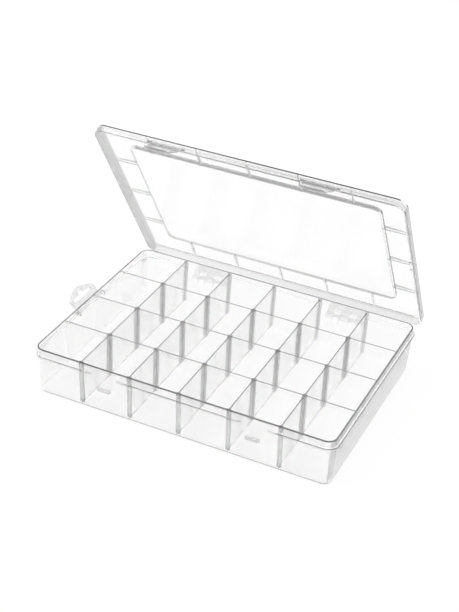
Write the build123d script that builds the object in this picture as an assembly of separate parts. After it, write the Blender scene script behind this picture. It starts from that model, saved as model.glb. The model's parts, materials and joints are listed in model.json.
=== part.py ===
from build123d import *
import math
import os

# A clear compartment box: a tray of four rows of six compartments, short dividers that lift out,
# a hinged lid with two snap latches, and a folding tab to hang the box by.
# Sizes are in millimetres. X is the width, Y runs from front to back and Z is up.
# The origin is the middle of the tray's underside.

# Tray shell
tray_w = 312.0  # over the rim
tray_d = 224.0
tray_h = 50.5
wall = 1.6
floor_t = 1.6
plan_r = 10.0
draft = 2.0  # how far the foot of each wall stands in from the rim
foot_r = 1.8

# Bead round the outside of the tray
bead_drop = 9.7  # from the rim down to the bead's underside
bead_t = 2.6
bead_out = 2.0
bead_round = 0.7
bead_flush_half = 13.0  # in front of each latch the bead has faded into the wall
bead_full_half = 24.0
bead_back_half = 24.5  # behind each hinge it stops short

# Compartments
columns = 6
rows = 4
row_wall_t = 1.4
divider_t = 1.2
partition_drop = 0.3  # from the rim down to the tops of the walls between compartments
slot_gap = 0.2  # on each side of a divider in its slot
divider_end_gap = 0.3
divider_seat_gap = 0.3
slot_rib_w = 1.3
slot_rib_d = 1.6

# Lid, described closed
lid_gap = 1.1  # between the rim and the lid's skirt
lid_skirt_t = 1.4
lid_panel_t = 1.4
lid_r = 11.0
lid_edge_r = 1.0
lid_headroom = 1.2  # from the rim up to the underside of the panel
rib_clear = 0.3  # from the rim up to the ribs under the panel
skirt_clear = 1.4  # from the bead up to the skirt's free edge
ledge_w = 4.5  # the border under the panel, inside the skirt
ledge_r = 8.0
centre_inset_x = 29.2
centre_inset_y = 29.2
centre_r = 7.0
centre_rise = 2.5  # how far the middle of the panel is raised
spoke_w = 1.0
wedge_h = 2.0  # the spokes' height above the panel where they meet the raised middle
wedge_tip_h = 0.4  # and where they end, at the lid's edge
peg_from_middle = 6.3
peg_w = 1.2
peg_drop = 1.5
lid_open_deg = 57.6

# Hinges, one behind the second column and one behind the fifth
knuckle_r = 2.9
hinge_drop = 20.0  # from the rim down to the axis
hinge_out = 2.1  # from the skirt's outer face to the axis
hinge_pin_r = 1.2
pin_gap = 0.08  # radial, at every pin
knuckle_gap = 0.4
middle_knuckle_half = 5.0
lug_w = 7.2
arm_half = 20.0
arm_clear = 3.1  # from the top of the tray's lugs up to the lid's arm
gusset_h = 4.0
mouth_w = 1.9  # the pin snaps into its lug through this

# Latches, described closed
latch_top_half = 16.5
latch_end_half = 11.5
latch_len = 23.0
latch_t = 1.4
latch_gap = 0.3
latch_barrel_r = 1.3
latch_pin_r = 0.9
latch_pin_len = 2.2
latch_rise = 1.2  # from the skirt's free edge up to the axis
latch_stand = 1.8  # between the wall under the rim and the inside of the flap
latch_jog = 1.6
latch_lip = 1.4
latch_open_deg = 48.0
ear_w = 2.5
ear_r = 1.7
ear_h = 4.5

# Catch bars on the tray's front wall
catch_w = 14.0
catch_h = 3.0
catch_drop = 22.9  # from the rim down to a catch's middle
catch_bite = 0.8  # how far a catch reaches into the latch's window
window_gap = 0.5

# Hanging tab on the left side
tab_half = 22.0
tab_t = 1.6
tab_gap = 0.7  # between the bead and the barrel
tab_barrel_r = 1.6
tab_pin_r = 0.9
tab_pin_len = 2.4
tab_drop = 0.8  # from the underside of the bead down to the axis
tab_end_gap = 0.3
tab_lug_w = 2.9
tab_lug_r = 1.9
tab_shoulder = 13.3
tab_tip = 20.4
tab_tip_half = 3.0
tab_corner_r = 2.0
tab_up_deg = 38.0
slot_half = 16.0
slot_near = 8.6
slot_far = 12.2
slot_peak = 15.7
slot_peak_half = 3.0
slot_base_half = 5.8

# Worked out from the sizes above
pitch_x = tray_w / columns
pitch_y = tray_d / rows
bead_lo = tray_h - bead_drop
hinge_z = tray_h - hinge_drop
catch_z = tray_h - catch_drop
slope = draft / bead_lo
bead_hi = bead_lo + bead_t
partition_top = tray_h - partition_drop
column_lines = [(i - columns / 2) * pitch_x for i in range(1, columns)]
row_lines = [(j - rows / 2) * pitch_y for j in range(1, rows)]
hinge_x = (columns / 2 - 1.5) * pitch_x
panel_lo = tray_h + lid_headroom
lid_top = panel_lo + lid_panel_t
skirt_lo = bead_hi + skirt_clear
rib_lo = tray_h + rib_clear
skirt_x = tray_w / 2 + lid_gap
skirt_y = tray_d / 2 + lid_gap
lid_x = skirt_x + lid_skirt_t
lid_y = skirt_y + lid_skirt_t
ledge_x = skirt_x - ledge_w
ledge_y = skirt_y - ledge_w
centre_x = lid_x - centre_inset_x
centre_y = lid_y - centre_inset_y
centre_top = lid_top + centre_rise
hinge_y = lid_y + hinge_out
hinge_bore_r = hinge_pin_r + pin_gap
lug_in = middle_knuckle_half + knuckle_gap
lug_out = lug_in + lug_w
latch_axis_y = -(lid_y + latch_gap + latch_barrel_r)
latch_axis_z = skirt_lo + latch_rise
latch_inner_y = -(tray_d / 2 + latch_stand)
tab_axis_x = -(tray_w / 2 + bead_out + tab_gap + tab_barrel_r)
tab_axis_z = bead_lo - tab_drop


def plate(half_x, half_y, r, z0, z1):
    """A block with rounded plan corners between two heights."""
    return Pos(0, 0, z0) * extrude(RectangleRounded(2 * half_x, 2 * half_y, r), z1 - z0)


def tapered(half_x, half_y, r, z0, z1):
    """A block that widens upwards with the walls' draft; its plan is given at z1."""
    step = slope * (z1 - z0)
    low = RectangleRounded(2 * (half_x - step), 2 * (half_y - step), r - step)
    return Pos(0, 0, z0) * extrude(low, z1 - z0, taper=-math.degrees(math.atan(slope)))


def block(x0, x1, y0, y1, z0, z1):
    """A box from its two corners."""
    middle = Pos((x0 + x1) / 2, (y0 + y1) / 2, (z0 + z1) / 2)
    return middle * Box(abs(x1 - x0), abs(y1 - y0), abs(z1 - z0))


def prism_x(points, x0, x1):
    """An outline of (y, z) points, drawn out along X."""
    face = make_face(Polyline(*[(x0, y, z) for y, z in points], close=True))
    return extrude(face, x1 - x0, dir=(1, 0, 0))


def prism_y(points, y0, y1):
    """An outline of (x, z) points, drawn out along Y."""
    face = make_face(Polyline(*[(x, y0, z) for x, z in points], close=True))
    return extrude(face, y1 - y0, dir=(0, 1, 0))


def rod_x(y, z, r, x0, x1):
    """A round bar along X."""
    return Pos((x0 + x1) / 2, y, z) * Rot(0, 90, 0) * Cylinder(r, abs(x1 - x0))


def rod_y(x, z, r, y0, y1):
    """A round bar along Y."""
    return Pos(x, (y0 + y1) / 2, z) * Rot(90, 0, 0) * Cylinder(r, abs(y1 - y0))


def turn_x(part, y, z, degrees):
    """Turn a part about a line along X."""
    return Pos(0, y, z) * Rot(degrees, 0, 0) * Pos(0, -y, -z) * part


def lean(z):
    """How far the drafted walls stand in from the rim at a height."""
    return slope * max(0.0, bead_lo - z)


def tray_shell():
    """Floor and four walls: drafted up to the bead, upright above it."""
    outer = tapered(tray_w / 2, tray_d / 2, plan_r, 0, bead_lo)
    outer = fillet(outer.edges().group_by(Axis.Z)[0], foot_r)
    outer += plate(tray_w / 2, tray_d / 2, plan_r, bead_lo, tray_h)
    in_x = tray_w / 2 - wall
    in_y = tray_d / 2 - wall
    inner = tapered(in_x, in_y, plan_r - wall, floor_t, bead_lo)
    inner += plate(in_x, in_y, plan_r - wall, bead_lo, tray_h)
    return outer - inner


def tray_bead():
    """The rounded bead round the tray, with its gaps at the latches and the hinges."""
    ring = plate(tray_w / 2 + bead_out, tray_d / 2 + bead_out, plan_r + bead_out, bead_lo, bead_hi)
    ring = fillet(ring.edges().group_by(Axis.Z)[-1], bead_round)
    ring = chamfer(ring.edges().group_by(Axis.Z)[0], bead_round)
    ring -= plate(tray_w / 2 - wall / 2, tray_d / 2 - wall / 2, plan_r - wall / 2, bead_lo, bead_hi)
    face_y = -tray_d / 2
    past = face_y - bead_out - 1
    for c in (-hinge_x, hinge_x):
        fade = [(c - bead_full_half, past), (c - bead_full_half, face_y - bead_out)]
        fade += [(c - bead_flush_half, face_y), (c + bead_flush_half, face_y)]
        fade += [(c + bead_full_half, face_y - bead_out), (c + bead_full_half, past)]
        ring -= Pos(0, 0, bead_lo) * extrude(make_face(Polyline(*fade, close=True)), bead_t)
        ring -= block(c - bead_back_half, c + bead_back_half, -face_y, -past, bead_lo, bead_hi)
    return ring


def long_walls():
    """The walls between the rows, from side wall to side wall."""
    half = tray_w / 2 - wall / 2
    low = half - lean(floor_t / 2)
    outline = [(-low, floor_t / 2), (-half, bead_lo), (-half, partition_top)]
    outline += [(half, partition_top), (half, bead_lo), (low, floor_t / 2)]
    return [prism_y(outline, y - row_wall_t / 2, y + row_wall_t / 2) for y in row_lines]


def slot_ribs():
    """A pair of ribs beside each divider line, on both faces of the long walls and on the end walls."""
    ribs = []
    near = divider_t / 2 + slot_gap
    root = tray_d / 2 - wall / 2
    tip = tray_d / 2 - wall - slot_rib_d
    depth = row_wall_t / 2 + slot_rib_d
    base = floor_t / 2
    for x in column_lines:
        for x0 in (x - near - slot_rib_w, x + near):
            x1 = x0 + slot_rib_w
            ribs += [block(x0, x1, y - depth, y + depth, base, partition_top) for y in row_lines]
            for s in (-1, 1):
                outline = [(s * (root - lean(base)), base), (s * root, bead_lo)]
                outline += [(s * root, partition_top), (s * tip, partition_top)]
                outline += [(s * tip, bead_lo), (s * (tip - lean(base)), base)]
                ribs.append(prism_x(outline, x0, x1))
    return ribs


def catch(c):
    """The bar that a latch snaps over: steep below, where it holds, and sloping above."""
    root = -(tray_d / 2 - wall / 2) + lean(catch_z)
    tip = latch_inner_y - catch_bite
    low = catch_z - catch_h / 2
    high = catch_z + catch_h / 2
    outline = [(root, low), (tip, low), (tip, low + catch_h / 2), (tip + catch_h / 2, high), (root, high)]
    bar = prism_x(outline, c - catch_w / 2, c + catch_w / 2)
    ends = bar.edges().filter_by(Axis.Z).group_by(Axis.Y)[0]
    return fillet(ends, catch_bite)


def hinge_lugs(c):
    """Two lugs on the back wall, each bored for the lid's pin and open behind to snap it in."""
    lugs = []
    root = tray_d / 2 - wall / 2 - lean(hinge_z)
    for s in (-1, 1):
        x0, x1 = sorted((c + s * lug_in, c + s * lug_out))
        web = [(root, hinge_z + knuckle_r), (hinge_y, hinge_z + knuckle_r)]
        web += [(hinge_y, hinge_z - knuckle_r), (root, hinge_z - knuckle_r - gusset_h)]
        lug = prism_x(web, x0, x1) + rod_x(hinge_y, hinge_z, knuckle_r, x0, x1)
        lug -= rod_x(hinge_y, hinge_z, hinge_bore_r, x0 - 1, x1 + 1)
        lug -= block(x0 - 1, x1 + 1, hinge_y, hinge_y + knuckle_r + 1,
                     hinge_z - mouth_w / 2, hinge_z + mouth_w / 2)
        lugs.append(lug)
    return lugs


def tab_lugs():
    """Two lugs on the left wall that hold the hanging tab's pins."""
    lugs = []
    for s in (-1, 1):
        y0, y1 = sorted((s * (tab_half + tab_end_gap), s * (tab_half + tab_end_gap + tab_lug_w)))
        lug = block(tab_axis_x, -(tray_w / 2 - wall / 2), y0, y1, tab_axis_z - tab_lug_r, tab_axis_z + tab_lug_r)
        lug += rod_y(tab_axis_x, tab_axis_z, tab_lug_r, y0, y1)
        lugs.append(lug - rod_y(tab_axis_x, tab_axis_z, tab_pin_r + pin_gap, y0 - 1, y1 + 1))
    return lugs


def make_tray():
    """The one-piece tray."""
    pieces = [tray_bead()] + long_walls() + slot_ribs() + tab_lugs()
    for c in (-hinge_x, hinge_x):
        pieces += [catch(c)] + hinge_lugs(c)
    return tray_shell() + pieces


def make_divider(row, x):
    """A short divider; in the first and last row one edge leans with the drafted wall."""
    low = floor_t + divider_seat_gap
    front_y = row_wall_edge(row) + divider_end_gap
    back_y = row_wall_edge(row + 1, far=True) - divider_end_gap
    front_low = front_y + (lean(low) if row == 0 else 0)
    back_low = back_y - (lean(low) if row == rows - 1 else 0)
    outline = [(front_low, low), (front_y, bead_lo), (front_y, partition_top)]
    outline += [(back_y, partition_top), (back_y, bead_lo), (back_low, low)]
    return prism_x(outline, x - divider_t / 2, x + divider_t / 2)


def row_wall_edge(line, far=False):
    """The face of the wall on a row line, 0 being the front wall; far is the face towards the front."""
    if line == 0:
        return -(tray_d / 2 - wall)
    if line == rows:
        return tray_d / 2 - wall
    y = (line - rows / 2) * pitch_y
    return y - row_wall_t / 2 if far else y + row_wall_t / 2


def spokes():
    """Ribs out from the raised middle: a low one under the panel to the border, a wedge on top to the edge."""
    pieces = []
    half = spoke_w / 2
    buried = lid_top - lid_panel_t / 2
    for s in (-1, 1):
        inner = s * (centre_y + lid_panel_t / 2)
        outer = s * (lid_y - lid_edge_r)
        wedge = [(inner, buried), (inner, lid_top + wedge_h), (outer, lid_top + wedge_tip_h), (outer, buried)]
        y0, y1 = sorted((s * centre_y, s * (ledge_y + ledge_w / 2)))
        for x in column_lines:
            pieces.append(prism_x(wedge, x - half, x + half))
            pieces.append(block(x - half, x + half, y0, y1, rib_lo, panel_lo))
        inner = s * (centre_x + lid_panel_t / 2)
        outer = s * (lid_x - lid_edge_r)
        wedge = [(inner, buried), (inner, lid_top + wedge_h), (outer, lid_top + wedge_tip_h), (outer, buried)]
        x0, x1 = sorted((s * centre_x, s * (ledge_x + ledge_w / 2)))
        for y in row_lines:
            pieces.append(prism_y(wedge, y - half, y + half))
            pieces.append(block(x0, x1, y - half, y + half, rib_lo, panel_lo))
    return pieces


def pegs():
    """Two pegs half way along each side, which drop inside the tray's wall as the lid shuts."""
    pieces = []
    for s in (-1, 1):
        x0, x1 = sorted((s * ledge_x, s * (ledge_x + peg_w)))
        for t in (-1, 1):
            y0, y1 = sorted((t * peg_from_middle, t * (peg_from_middle + peg_w)))
            pieces.append(block(x0, x1, y0, y1, rib_lo - peg_drop, panel_lo))
    return pieces


def hinge_arm(c):
    """A flap from the lid's back skirt down to three knuckles on one pin."""
    arm_lo = hinge_z + knuckle_r + arm_clear
    pieces = [block(c - arm_half, c + arm_half, skirt_y, lid_y, arm_lo, skirt_lo + lid_edge_r)]
    outer = lug_out + knuckle_gap
    spans = [(c - arm_half, c - outer), (c - middle_knuckle_half, c + middle_knuckle_half)]
    spans.append((c + outer, c + arm_half))
    for x0, x1 in spans:
        pieces.append(block(x0, x1, skirt_y, lid_y, hinge_z, arm_lo))
        pieces.append(rod_x(hinge_y, hinge_z, knuckle_r, x0, x1))
    pieces.append(rod_x(hinge_y, hinge_z, hinge_pin_r, c - outer - 1, c + outer + 1))
    return pieces


def latch_ears(c):
    """Two ears on the lid's front skirt that hold a latch's pins."""
    ears = []
    for s in (-1, 1):
        x0, x1 = sorted((c + s * (latch_top_half + latch_gap), c + s * (latch_top_half + latch_gap + ear_w)))
        root = -(lid_y - lid_skirt_t / 2)
        outline = [(root, latch_axis_z - ear_r), (latch_axis_y, latch_axis_z - ear_r)]
        outline += [(latch_axis_y - ear_r, latch_axis_z), (root, latch_axis_z + ear_h)]
        ear = prism_x(outline, x0, x1) + rod_x(latch_axis_y, latch_axis_z, ear_r, x0, x1)
        ears.append(ear - rod_x(latch_axis_y, latch_axis_z, latch_pin_r + pin_gap, x0 - 1, x1 + 1))
    return ears


def make_lid():
    """The lid, closed: panel with its raised middle, border, skirt, spokes, hinge arms and latch ears."""
    shell = plate(lid_x, lid_y, lid_r, skirt_lo, lid_top)
    shell = fillet(shell.edges().group_by(Axis.Z)[-1], lid_edge_r)
    shell += plate(centre_x + lid_panel_t, centre_y + lid_panel_t, centre_r + lid_panel_t, lid_top, centre_top)
    shell -= plate(skirt_x, skirt_y, lid_r - lid_skirt_t, skirt_lo, rib_lo)
    shell -= plate(ledge_x, ledge_y, ledge_r, rib_lo, panel_lo)
    shell -= plate(centre_x, centre_y, centre_r, panel_lo, centre_top - lid_panel_t)
    pieces = spokes() + pegs()
    for c in (-hinge_x, hinge_x):
        pieces += hinge_arm(c) + latch_ears(c)
    return shell + pieces


def make_latch(c):
    """A latch, closed: a flap that jogs in under the skirt, with a window for the catch and a lip."""
    face = latch_inner_y - latch_t
    jog_hi = skirt_lo - latch_rise
    jog_lo = jog_hi - latch_jog
    bottom = latch_axis_z - latch_len
    outline = [(latch_axis_y - latch_t / 2, latch_axis_z), (latch_axis_y - latch_t / 2, jog_hi)]
    outline += [(face, jog_lo), (face, bottom), (latch_inner_y, bottom), (latch_inner_y, jog_lo)]
    outline += [(latch_axis_y + latch_t / 2, jog_hi), (latch_axis_y + latch_t / 2, latch_axis_z)]
    flap = prism_x(outline, c - latch_top_half, c + latch_top_half)
    flap += block(c - latch_top_half, c + latch_top_half, face - latch_lip, face, bottom, bottom + latch_t)
    ends = [(c - latch_end_half, bottom), (c - latch_top_half, latch_axis_z)]
    ends += [(c + latch_top_half, latch_axis_z), (c + latch_end_half, bottom)]
    flap &= prism_y(ends, latch_axis_y - latch_len, latch_inner_y + 1)
    reach_x = catch_w / 2 + window_gap
    reach_z = catch_h / 2 + window_gap
    flap -= block(c - reach_x, c + reach_x, face - 1, latch_inner_y + 1, catch_z - reach_z, catch_z + reach_z)
    pin_half = latch_top_half + latch_pin_len
    flap += rod_x(latch_axis_y, latch_axis_z, latch_barrel_r, c - latch_top_half, c + latch_top_half)
    return flap + rod_x(latch_axis_y, latch_axis_z, latch_pin_r, c - pin_half, c + pin_half)


def make_hang_tab():
    """The folding tab, drawn flat outwards from its axis and then turned up to its rest angle."""
    outline = [(0, -tab_half), (-tab_shoulder, -tab_half), (-tab_tip, -tab_tip_half)]
    outline += [(-tab_tip, tab_tip_half), (-tab_shoulder, tab_half), (0, tab_half)]
    tab = Pos(0, 0, -tab_t / 2) * extrude(make_face(Polyline(*outline, close=True)), tab_t)
    upright = tab.edges().filter_by(Axis.Z).group_by(Axis.X)[:-1]
    tab = fillet([edge for group in upright for edge in group], tab_corner_r)
    hole = [(-slot_near, -slot_half), (-slot_far, -slot_half), (-slot_far, -slot_base_half)]
    hole += [(-slot_peak, -slot_peak_half), (-slot_peak, slot_peak_half)]
    hole += [(-slot_far, slot_base_half), (-slot_far, slot_half), (-slot_near, slot_half)]
    tab -= Pos(0, 0, -tab_t) * extrude(make_face(Polyline(*hole, close=True)), 2 * tab_t)
    pin_half = tab_half + tab_pin_len
    tab += rod_y(0, 0, tab_barrel_r, -tab_half, tab_half)
    tab += rod_y(0, 0, tab_pin_r, -pin_half, pin_half)
    return Pos(tab_axis_x, 0, tab_axis_z) * Rot(0, tab_up_deg, 0) * tab


def opened(part):
    """Turn a part of the closed lid to the angle that the lid stands at."""
    return turn_x(part, hinge_y, hinge_z, -lid_open_deg)


def make_nodes():
    """Every piece by its name, as the box stands with its lid part open and its latches out."""
    nodes = {"tray": make_tray(), "lid": opened(make_lid()), "hang_tab": make_hang_tab()}
    for name, c in (("latch_left", -hinge_x), ("latch_right", hinge_x)):
        nodes[name] = opened(turn_x(make_latch(c), latch_axis_y, latch_axis_z, -latch_open_deg))
    for row in range(rows):
        for i, x in enumerate(column_lines):
            nodes["divider_row%d_%d" % (row + 1, i + 1)] = make_divider(row, x)
    return nodes


os.makedirs("parts", exist_ok=True)
for name, part in make_nodes().items():
    export_step(part, os.path.join("parts", name + ".step"))
    print(name, len(part.solids()), "solid,", round(part.volume), "cubic mm")

# The joint axes as they lie with the lid open
turn = math.radians(-lid_open_deg)
reach_y = latch_axis_y - hinge_y
reach_z = latch_axis_z - hinge_z
latch_rest_y = hinge_y + reach_y * math.cos(turn) - reach_z * math.sin(turn)
latch_rest_z = hinge_z + reach_y * math.sin(turn) + reach_z * math.cos(turn)
print("lid hinge axis", round(hinge_y, 3), round(hinge_z, 3))
print("latch axes", round(hinge_x, 3), round(latch_rest_y, 3), round(latch_rest_z, 3))
print("tab axis", round(tab_axis_x, 3), round(tab_axis_z, 3))
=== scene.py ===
# %% [markdown]
# A clear compartment box
#
# This lesson dresses a moulded storage box: a tray with four rows of compartments, a hinged lid with
# two latches, twenty dividers and a tab to hang it by. Everything is clear plastic, so there is
# hardly any colour to paint. What the eye reads is edges: light that runs along inside a thin wall
# comes out at its rim darker than light that crosses it. The lesson is about getting that right.
#
# The shapes come ready made from the CAD model, which is loaded here as a fixed frame. What is left
# is to round the edges, and to choose a plastic for every face. The grey of each plastic is painted
# shade, standing in for the darkening that light running inside the walls gives each kind of face.

# %% Load the frame
import json
import math

import bmesh
import bpy
from mathutils import Matrix, Vector


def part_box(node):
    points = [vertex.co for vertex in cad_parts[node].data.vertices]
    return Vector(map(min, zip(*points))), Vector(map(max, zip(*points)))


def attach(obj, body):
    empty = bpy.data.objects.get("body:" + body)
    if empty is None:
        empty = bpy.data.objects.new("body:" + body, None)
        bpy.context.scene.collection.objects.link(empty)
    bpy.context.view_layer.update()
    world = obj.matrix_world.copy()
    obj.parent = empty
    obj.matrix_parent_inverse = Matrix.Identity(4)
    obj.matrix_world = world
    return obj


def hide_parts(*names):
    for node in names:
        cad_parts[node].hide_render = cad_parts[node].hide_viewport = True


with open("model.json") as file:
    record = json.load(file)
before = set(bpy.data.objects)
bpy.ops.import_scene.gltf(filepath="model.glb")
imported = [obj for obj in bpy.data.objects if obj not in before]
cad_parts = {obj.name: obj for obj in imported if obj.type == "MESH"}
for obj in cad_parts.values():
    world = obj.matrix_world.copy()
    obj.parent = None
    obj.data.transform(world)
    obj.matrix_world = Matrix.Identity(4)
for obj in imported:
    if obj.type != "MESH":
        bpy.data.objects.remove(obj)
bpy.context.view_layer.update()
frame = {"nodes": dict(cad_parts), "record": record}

MM = 0.001
print("pieces in the frame:", len(frame["nodes"]))

# %% [markdown]
# The camera comes first, because every later choice is judged through it. The photograph was taken
# from the front right, looking down at about 32 degrees. Its lens was worked out from how the
# parallel walls converge. The image is taller than wide, so the lens is measured on its height.

# %% Camera
VIEW_AZIMUTH = 23.80
VIEW_ELEVATION = 31.90
VIEW_ROLL = 3.19
LENS = 78.84
SENSOR = 36.0
EYE = Vector((445.7, -1014.9, 775.1)) * MM

camera_data = bpy.data.cameras.new("camera")
camera_data.sensor_fit = "VERTICAL"
camera_data.sensor_height = SENSOR
camera_data.lens = LENS
camera = bpy.data.objects.new("camera", camera_data)
turn = Matrix.Rotation(math.radians(VIEW_AZIMUTH), 4, "Z")
tip = Matrix.Rotation(math.radians(90 - VIEW_ELEVATION), 4, "X")
roll = Matrix.Rotation(math.radians(VIEW_ROLL), 4, "Z")
camera.matrix_world = Matrix.Translation(EYE) @ turn @ tip @ roll
bpy.context.scene.collection.objects.link(camera)
bpy.context.scene.camera = camera
print("camera at", [round(v, 3) for v in EYE])

# %% [markdown]
# Moulded plastic of this kind is clear but a little milky: a wall lets nearly all the light through,
# yet blurs what stands behind it. A plain glass material could be used for the whole box, but it
# comes out too even, because on the real one each kind of face looks a different grey, from how the
# light runs through it and falls on it. Here that grey is painted into each plastic as shade.
#
# So there is one recipe with four numbers. The painted shade level is how much light passes, and below
# 1 it paints in shade; haze is the blur, and milk is the share that the plastic scatters back instead
# of letting it pass. Body is the share of the light that the wall bends at all, and the rest goes
# straight through, which keeps the broad walls bright. A fine noise varies the blur, and a wide
# shallow one gives the slight ripple of a moulded wall.

# %% Clear plastic
PLASTIC_IOR = 1.50
HAZE_SPREAD = 0.2
HAZE_SCALE = 90.0
RIPPLE_SCALE = 22.0
RIPPLE_STRENGTH = 0.008
RIPPLE_DEPTH = 0.4 * MM


def clear_plastic(name, painted_shade_level, haze, milk, body):
    """Moulded plastic: painted_shade_level of the light passes, and below 1 it paints shade; haze blurs
    it and milk scatters some of it back.
    """
    material = bpy.data.materials.new(name)
    material.use_nodes = True
    nodes = material.node_tree.nodes
    links = material.node_tree.links
    nodes.clear()
    output = nodes.new("ShaderNodeOutputMaterial")
    shader = nodes.new("ShaderNodeBsdfPrincipled")
    shader.inputs["Base Color"].default_value = (painted_shade_level, painted_shade_level, painted_shade_level, 1)
    shader.inputs["Transmission Weight"].default_value = 1.0 - milk
    shader.inputs["IOR"].default_value = PLASTIC_IOR
    shader.inputs["Alpha"].default_value = body
    links.new(shader.outputs["BSDF"], output.inputs["Surface"])
    place = nodes.new("ShaderNodeTexCoord")
    fine = nodes.new("ShaderNodeTexNoise")
    fine.inputs["Scale"].default_value = HAZE_SCALE
    links.new(place.outputs["Object"], fine.inputs["Vector"])
    rough = nodes.new("ShaderNodeMapRange")
    rough.inputs["To Min"].default_value = haze * (1 - HAZE_SPREAD)
    rough.inputs["To Max"].default_value = haze * (1 + HAZE_SPREAD)
    links.new(fine.outputs["Fac"], rough.inputs["Value"])
    links.new(rough.outputs["Result"], shader.inputs["Roughness"])
    ripple = nodes.new("ShaderNodeTexNoise")
    ripple.inputs["Scale"].default_value = RIPPLE_SCALE
    links.new(place.outputs["Object"], ripple.inputs["Vector"])
    bump = nodes.new("ShaderNodeBump")
    bump.inputs["Strength"].default_value = RIPPLE_STRENGTH
    bump.inputs["Distance"].default_value = RIPPLE_DEPTH
    links.new(ripple.outputs["Fac"], bump.inputs["Height"])
    links.new(bump.outputs["Normal"], shader.inputs["Normal"])
    return material


print("index of refraction:", PLASTIC_IOR)

# %% [markdown]
# In the photograph the broad walls are the clearest, and the right end wall, on the side away from
# the lamp, is greyer; that grey is painted shade. Ribs, wall tops, the bead and the rims are narrow,
# and light takes a long way through them, so they bend all of it, and their low levels paint the
# shade that makes them dark lines. They are the grey lines that the eye reads as the box. One
# material with a mask could hold them all, but separate ones are easier to set beside the photograph.

# %% A plastic for each kind of face
# Every level under 1 here is painted shade, from the light greys of the walls to the dark rims.
broad = clear_plastic("broad_faces", painted_shade_level=1.0, haze=0.16, milk=0.06, body=0.10)
divider = clear_plastic("divider_faces_painted_shade", painted_shade_level=0.80, haze=0.16, milk=0.10, body=0.26)
front = clear_plastic("front_faces_painted_shade", painted_shade_level=0.75, haze=0.16, milk=0.08, body=0.26)
end = clear_plastic("end_faces_painted_shade", painted_shade_level=0.38, haze=0.16, milk=0.08, body=0.78)
left_end_painted_shade = clear_plastic("left_end_faces_painted_shade", painted_shade_level=0.60, haze=0.16, milk=0.08, body=0.40)
ribs = clear_plastic("ribs", painted_shade_level=0.52, haze=0.16, milk=0.08, body=1.0)
front_ribs_painted_shade = clear_plastic("front_ribs_painted_shade", painted_shade_level=0.18, haze=0.10, milk=0.08, body=1.0)
bead = clear_plastic("bead_and_foot_painted_shade", painted_shade_level=0.03, haze=0.08, milk=0.08, body=1.0)
tops = clear_plastic("wall_tops_painted_shade", painted_shade_level=0.06, haze=0.08, milk=0.08, body=1.0)
rim = clear_plastic("tray_rim_painted_shade", painted_shade_level=0.002, haze=0.08, milk=0.05, body=1.0)
panel = clear_plastic("lid_panel", painted_shade_level=0.95, haze=0.16, milk=0.06, body=0.11)
skirt = clear_plastic("lid_skirt_painted_shade", painted_shade_level=0.50, haze=0.16, milk=0.08, body=0.30)
left_skirt_painted_shade = clear_plastic("lid_left_skirt_painted_shade", painted_shade_level=0.36, haze=0.16, milk=0.10, body=0.55)
left_ring_painted_shade = clear_plastic("lid_left_border_painted_shade", painted_shade_level=0.18, haze=0.16, milk=0.08, body=0.42)
lid_ribs_painted_shade = clear_plastic("lid_ribs_painted_shade", painted_shade_level=0.20, haze=0.08, milk=0.08, body=1.0)
lid_edge_painted_shade = clear_plastic("lid_edge_painted_shade", painted_shade_level=0.003, haze=0.08, milk=0.06, body=1.0)
latch = clear_plastic("latch_faces_painted_shade", painted_shade_level=0.60, haze=0.18, milk=0.12, body=0.40)
print("materials:", len(bpy.data.materials))

# %% [markdown]
# A mould has no knife edges, so the frame's sharp ones are rounded by about a fifth of a millimetre.
# A Bevel modifier could do that, but a face has to be named before its edges are rounded, while it
# is still whole, so bmesh operators do it here.
#
# The frame's meshes are loose triangles, so each piece starts as a merged copy: doubles are joined,
# and flat faces are cleaned of their diagonals. A plane may then cut the faces in two, so that a
# narrow strip of a wall can take another plastic. A face counts as a rim if it is narrower than
# about three millimetres and has sharp edges along most of its border.

# %% Merge, find rims and round
MERGE_WITHIN = 0.002 * MM
FLAT_WITHIN = math.radians(0.5)
SHARP = math.radians(30)
WIDEST_RIM = 2.8 * MM
RIM_SHARP_SHARE = 0.7
SHORTEST_ROUNDED = 0.6 * MM
EDGE_R = 0.2 * MM
EDGE_STEPS = 2


def merged(node, cuts):
    """A bmesh of a node with whole faces, parted at each cut, which is a point and a direction."""
    work = bmesh.new()
    work.from_mesh(frame["nodes"][node].data)
    bmesh.ops.remove_doubles(work, verts=work.verts, dist=MERGE_WITHIN)
    bmesh.ops.dissolve_limit(work, angle_limit=FLAT_WITHIN, verts=work.verts, edges=work.edges)
    for point, way in cuts:
        bmesh.ops.bisect_plane(work, geom=list(work.verts) + list(work.edges) + list(work.faces),
                               plane_co=point, plane_no=way)
    work.normal_update()
    return work


def is_sharp(edge):
    """An edge where two faces meet at more than the sharp angle."""
    return edge.is_manifold and edge.calc_face_angle() > SHARP


def is_rim(face):
    """A face as narrow as a rim or a rib, with sharp edges along most of its border."""
    around = sum(e.calc_length() for e in face.edges)
    sharp = sum(e.calc_length() for e in face.edges if is_sharp(e))
    return 2 * face.calc_area() / around < WIDEST_RIM and sharp > RIM_SHARP_SHARE * around


def round_edges(work):
    """Round the sharp outer edges, and keep every point inside the piece's own box."""
    low = [min(v.co[i] for v in work.verts) for i in range(3)]
    high = [max(v.co[i] for v in work.verts) for i in range(3)]
    sharp = [e for e in work.edges if is_sharp(e) and e.is_convex and e.calc_length() > SHORTEST_ROUNDED]
    bmesh.ops.bevel(work, geom=sharp, offset=EDGE_R, offset_type="OFFSET", affect="EDGES",
                    segments=EDGE_STEPS, profile=0.5, material=-1, clamp_overlap=False)
    for vert in work.verts:
        for i in range(3):
            vert.co[i] = min(max(vert.co[i], low[i]), high[i])
    for face in work.faces:
        face.smooth = True
    for edge in work.edges:
        if is_sharp(edge):
            edge.smooth = False


print("edges rounded by", EDGE_R / MM, "mm")

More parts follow.
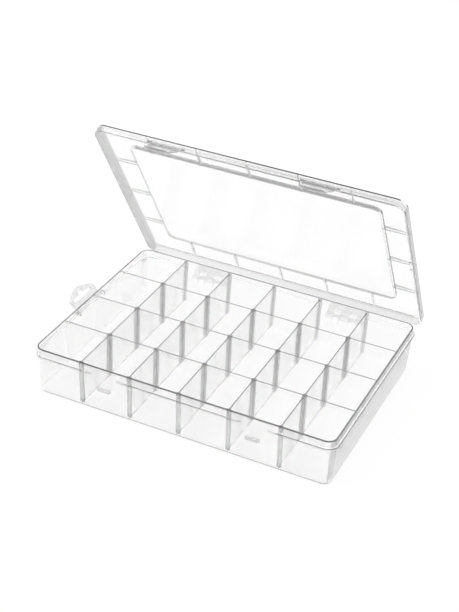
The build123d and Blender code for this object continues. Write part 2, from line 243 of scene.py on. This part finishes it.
# %% [markdown]
# The rounded copy then stands for the CAD piece: it rides on the same body, takes the same place,
# and hides the CAD piece. Weighted normals keep the broad faces flat beside their narrow rounded
# edges, where plain smooth shading would bend the light all across the wall.

# %% Rounded copies
FLAT_WEIGHT = 100


def rounded_copy(node, materials, kind, cuts=()):
    """A rounded copy of a node, where kind picks the material of each face."""
    work = merged(node, cuts)
    for face in work.faces:
        face.material_index = kind(face)
    round_edges(work)
    mesh = bpy.data.meshes.new(node + "_clear")
    work.to_mesh(mesh)
    work.free()
    for material in materials:
        mesh.materials.append(material)
    piece = bpy.data.objects.new(node + "_clear", mesh)
    bpy.context.scene.collection.objects.link(piece)
    flat = piece.modifiers.new("flat_faces", "WEIGHTED_NORMAL")
    flat.mode = "FACE_AREA"
    flat.weight = FLAT_WEIGHT
    flat.keep_sharp = True
    body = next(b for b, members in frame["record"]["behaviour"]["bodies"].items() if node in members)
    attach(piece, body)
    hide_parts(node)
    kinds = [sum(p.material_index == i for p in mesh.polygons) for i in range(len(materials))]
    print(piece.name, len(mesh.polygons), "faces, by material", kinds)


# %% [markdown]
# The tray is one moulding, but its rim and the tops of its walls are painted darkest, its slot ribs
# mid grey, and its outer faces a little greyer than the inner ones, all as painted shade. The faces
# could be picked by hand in Edit Mode. A rule that names them by place and direction gives the same
# result each time, and it fits the dividers as well.
#
# Outer faces are told apart by how far they lie from a rounded rectangle drawn through the middle of
# the wall, which leans in below the bead. What stands out behind the back wall, round the hinges, is
# as clear as the wall.
#
# The bead and the round foot are painted dark on the front and the right, the two sides that the
# photograph shows from outside, and that dark is painted shade. On the other two sides they take the
# wall's plastic, or they would show through the box as broken lines that the photograph doesn't
# have. On a real box all four sides are alike.

# %% Kinds of face on the tray
BROAD, RIB, TOP, RIM, FRONT, END, BEAD, FRONT_RIB, LEFT_END = range(9)
CORNER_X = 146.0 * MM
CORNER_Y = 102.0 * MM
MID_WALL_LOW = 8.2 * MM
MID_WALL_HIGH = 9.2 * MM
BEAD_Z = 40.8 * MM
BEAD_LOW_Z = 38.0 * MM
FOOT_Z = 3.0 * MM
RIM_STRIP = 0.8 * MM
RIM_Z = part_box("tray")[1][2] - RIM_STRIP
HINGE_FROM_Y = 112.5 * MM
FRONT_RIB_Y = -104.0 * MM
FAR_SIDE = 0.3
LYING_FLAT = 0.97
FOOT_SLOPE = 0.05
BEAD_SLOPE = 0.15
UPWARD = 0.7
SIDEWAYS = 0.6


def tray_kind(face):
    """Which material a face of the tray or of a divider takes."""
    point = face.calc_center_median()
    way = face.normal
    out = math.hypot(max(abs(point.x) - CORNER_X, 0), max(abs(point.y) - CORNER_Y, 0))
    outside = out > (MID_WALL_LOW if point.z < BEAD_Z else MID_WALL_HIGH)
    on_foot = point.z < FOOT_Z and -LYING_FLAT < way.z < -FOOT_SLOPE
    on_bead = outside and point.z > BEAD_LOW_Z and BEAD_SLOPE < abs(way.z) < LYING_FLAT
    if point.y > HINGE_FROM_Y:
        return FRONT
    if outside and point.z > RIM_Z:
        return RIM
    # The bead's painted shade goes only on the front and the right.
    if on_foot or on_bead:
        return BEAD if way.y < FAR_SIDE and way.x > -FAR_SIDE else FRONT
    if is_rim(face):
        if way.z > UPWARD and point.z > BEAD_Z:
            return TOP
        return FRONT_RIB if point.y < FRONT_RIB_Y and not outside else RIB
    # Outer walls take a painted shade by the side they face, the left, the right and the front and back
    # each their own.
    if outside:
        if way.x < -SIDEWAYS:
            return LEFT_END
        return END if way.x > SIDEWAYS else FRONT
    return BROAD


print("rim from", round(RIM_Z / MM, 2), "mm up")

# %% [markdown]
# The dividers are loose plates that stand in slots between the ribs. They use the same rule, but a
# plastic of their own, a little milkier than the tray's and a little greyer as painted shade, because
# in the photograph they stand out against its floor. The tray is cut once, just under its rim.

# %% Tray and dividers
tray_look = (broad, ribs, tops, rim, front, end, bead, front_ribs_painted_shade, left_end_painted_shade)
divider_look = (divider, ribs, tops, tops, divider, divider, ribs, front_ribs_painted_shade, divider)
rounded_copy("tray", tray_look, tray_kind, [((0, 0, RIM_Z), (0, 0, 1))])
for node in sorted(n for n in frame["nodes"] if n.startswith("divider")):
    rounded_copy(node, divider_look, tray_kind)

# %% [markdown]
# The lid is one thin moulding: a raised panel, a sunk border round it with spokes, and a skirt. It
# stands open, but its parts are easier to name as they lie when it is shut, so the middle of a face
# is first turned back about the hinge.
#
# The panel and the border are the clearest parts. The skirt and the ledge inside it are greyer, and
# so is the border's outermost strip on the left, as in the photograph. The spokes are mid grey. The
# wall of the raised panel, the free edge of the skirt and the round along the top of the lid are the
# darkest, except at the back and on the left, where the photograph shows softer lines. All these
# greys are painted shade, and the left and the back get shades of their own.

# %% The lid as it lies shut
LID_OPEN = math.radians(57.6)
HINGE = Vector((0, 116.6, 30.5)) * MM
TURN_SHUT = Matrix.Rotation(LID_OPEN, 3, "X")
TURN_OPEN = TURN_SHUT.transposed()


def shut(point):
    """A point of the open lid, moved to where it is when the lid is shut."""
    return TURN_SHUT @ (point - HINGE) + HINGE


print("turned shut about y", round(HINGE.y / MM, 1), "and z", round(HINGE.z / MM, 1), "mm")

# %% [markdown]
# Two rules share the work. The first names what lies wholly in the outermost strip of the lid: the
# skirt, the round above it and the ledge inside it. The second names the upright faces further in,
# which are the spokes and the wall of the raised panel. What is left lies flat, and is clear unless
# it is as narrow as a rim.

# %% Kinds of face on the lid
PANEL, LID_RIB, SKIRT, LEFT_SKIRT, LEFT_RING, EDGE, SPOKE = range(7)
SKIRT_LOW_Z = 44.7 * MM
SKIRT_STRIP_Z = 45.6 * MM
ROUND_Z = 51.4 * MM
HINGE_ARM_Y = 114.6 * MM
OUTER_X = 152.0 * MM
OUTER_Y = 108.0 * MM
LEDGE_X = 153.5 * MM
LEDGE_Y = 109.5 * MM
SKIRT_X = 157.0 * MM
SKIRT_Y = 113.0 * MM
REAR_Y = 100.0 * MM
FRAME_X = 131.5 * MM
FRAME_Y = 87.5 * MM
LEFT_FRAME_X = 124.0 * MM
REAR_FRAME_Y = 80.0 * MM
UPRIGHT = 0.3
ENDWAYS = 0.8
SQUARE_ENDWAYS = 0.9


def outer_strip_kind(corners, middle, way):
    """The material of a face on the skirt, on the round above it or on the ledge inside it."""
    # On the left the strip takes greys of its own, as painted shade.
    if middle.x < -OUTER_X:
        return LEFT_RING if abs(way.z) > UPWARD else LEFT_SKIRT
    if abs(way.z) < UPRIGHT and abs(middle.x) < LEDGE_X and abs(middle.y) < LEDGE_Y:
        if middle.y > REAR_Y:
            return SPOKE
        return EDGE if way.x < -ENDWAYS else LID_RIB
    on_skirt = all(abs(c.x) > SKIRT_X or abs(c.y) > SKIRT_Y for c in corners)
    if on_skirt and not SKIRT_STRIP_Z < middle.z < ROUND_Z:
        if middle.y > REAR_Y:
            return SPOKE
        return EDGE if middle.z > ROUND_Z or middle.x > SKIRT_X else LID_RIB
    return SPOKE if abs(way.x) > ENDWAYS and on_skirt else SKIRT


def raised_wall_kind(middle, way):
    """The material of an upright face inside the border: a spoke, or the wall of the raised panel."""
    if abs(middle.x) > FRAME_X or abs(middle.y) > FRAME_Y:
        return SPOKE
    # On the left the raised wall takes the left skirt's painted shade.
    if middle.x < -LEFT_FRAME_X:
        return LEFT_SKIRT
    if middle.y > REAR_FRAME_Y:
        return SPOKE
    return EDGE if abs(way.x) > SQUARE_ENDWAYS else LID_RIB


def lid_kind(face):
    """Which material a face of the open lid takes."""
    corners = [shut(v.co) for v in face.verts]
    middle = sum(corners, Vector()) / len(corners)
    way = TURN_SHUT @ face.normal
    if middle.y > HINGE_ARM_Y or middle.z < SKIRT_LOW_Z:
        return SKIRT
    if all(abs(c.x) > OUTER_X or abs(c.y) > OUTER_Y for c in corners):
        return outer_strip_kind(corners, middle, way)
    if abs(way.z) < UPRIGHT:
        return raised_wall_kind(middle, way)
    return SPOKE if is_rim(face) else PANEL


print("outermost strip from", round(OUTER_X / MM, 1), "mm out")

# %% [markdown]
# The skirt is cut twice along its length, for the strip at its free edge and the round at its top,
# and the border is cut once on the left, for its outermost strip. That last cut lies a little outside
# the line that the rule tests, so that the cut's own points count as outside it. The latches and the
# tab are small thick mouldings, and need no more than the difference between broad faces and rims.

# %% Lid, latches and tab
CUT_BEYOND = 0.1 * MM
across = TURN_OPEN @ Vector((0, 0, 1))
strips = [(TURN_OPEN @ (Vector((0, 0, z)) - HINGE) + HINGE, across) for z in (SKIRT_STRIP_Z, ROUND_Z)]
strips.append(((-OUTER_X - CUT_BEYOND, 0, 0), (1, 0, 0)))
lid_look = (panel, lid_ribs_painted_shade, skirt, left_skirt_painted_shade, left_ring_painted_shade, lid_edge_painted_shade, ribs)
rounded_copy("lid", lid_look, lid_kind, strips)
# The tab's skirt grey and the latches' mid grey are painted shade.
rounded_copy("hang_tab", (skirt, ribs), is_rim)
for node in ("latch_left", "latch_right"):
    rounded_copy(node, (latch, ribs), is_rim)

# %% [markdown]
# The box stands on a white floor. Clear plastic shows what is behind and under it, so a grey floor
# would turn every wall grey. The floor is matt white paint, mixed with an even white glow of
# strength 1. The camera sees a little less of the glow than the box does, so that the floor keeps
# the box's shadow.

# %% Floor
FLOOR_HALF = 3.0
FLOOR_DROP = 0.2 * MM
FLOOR_WHITE = 0.97
FLOOR_ROUGH = 0.9
FLOOR_GLOW = 0.88

floor_mesh = bpy.data.meshes.new("floor")
work = bmesh.new()
bmesh.ops.create_grid(work, x_segments=1, y_segments=1, size=FLOOR_HALF)
bmesh.ops.translate(work, verts=work.verts, vec=(0, 0, -FLOOR_DROP))
work.to_mesh(floor_mesh)
work.free()
floor = bpy.data.objects.new("floor", floor_mesh)
bpy.context.scene.collection.objects.link(floor)

floor_paint = bpy.data.materials.new("floor_paint")
floor_paint.use_nodes = True
floor_tree = floor_paint.node_tree
floor_shader = floor_tree.nodes["Principled BSDF"]
floor_shader.inputs["Base Color"].default_value = (FLOOR_WHITE, FLOOR_WHITE, FLOOR_WHITE, 1)
floor_shader.inputs["Roughness"].default_value = FLOOR_ROUGH
glow = floor_tree.nodes.new("ShaderNodeEmission")
rays = floor_tree.nodes.new("ShaderNodeLightPath")
seen = floor_tree.nodes.new("ShaderNodeMapRange")
seen.inputs["To Min"].default_value = 1.0
seen.inputs["To Max"].default_value = FLOOR_GLOW
floor_tree.links.new(rays.outputs["Is Camera Ray"], seen.inputs["Value"])
blend = floor_tree.nodes.new("ShaderNodeMixShader")
floor_tree.links.new(seen.outputs["Result"], blend.inputs["Fac"])
floor_tree.links.new(floor_shader.outputs["BSDF"], blend.inputs[1])
floor_tree.links.new(glow.outputs["Emission"], blend.inputs[2])
floor_tree.links.new(blend.outputs["Shader"], floor_tree.nodes["Material Output"].inputs["Surface"])
floor_mesh.materials.append(floor_paint)
print("floor is", 2 * FLOOR_HALF, "m wide")

# %% [markdown]
# A product photograph of clear plastic is lit evenly from all round, or its walls would fill with
# reflections of the lamps. An even white sky does that here. One broad soft lamp from the upper left
# adds the highlights along the edges.

# %% Sky and lamp
KEY_SIZE = 1.2
KEY_POWER = 12.0
KEY_AT = (-0.9, -0.6, 1.6)

world = bpy.data.worlds.new("sky")
bpy.context.scene.world = world
world.use_nodes = True
sky = world.node_tree.nodes["Background"]
sky.inputs["Color"].default_value = (1, 1, 1, 1)
sky.inputs["Strength"].default_value = 1.0

key_data = bpy.data.lights.new("key", "AREA")
key_data.size = KEY_SIZE
key_data.energy = KEY_POWER
key = bpy.data.objects.new("key", key_data)
key.location = KEY_AT
key.rotation_euler = (-key.location).to_track_quat("-Z", "Y").to_euler()
bpy.context.scene.collection.objects.link(key)
print("lamp of", KEY_POWER, "W at", KEY_AT)

# %% [markdown]
# A ray that goes through this box may cross a dozen walls, each with two surfaces. Blender cuts a
# path off after about a dozen crossings, and what is cut off comes out black, so the paths are made
# longer here.

# %% Finish
LONG_PATH = 32
GLOSSY_PATH = 16
scene = bpy.context.scene
scene.view_settings.view_transform = "Standard"
scene.cycles.max_bounces = LONG_PATH
scene.cycles.transmission_bounces = LONG_PATH
scene.cycles.glossy_bounces = GLOSSY_PATH
scene.cycles.diffuse_bounces = LONG_PATH
scene.cycles.transparent_max_bounces = LONG_PATH
scene.cycles.caustics_refractive = True
scene.cycles.caustics_reflective = True
print("paths of up to", LONG_PATH, "crossings")
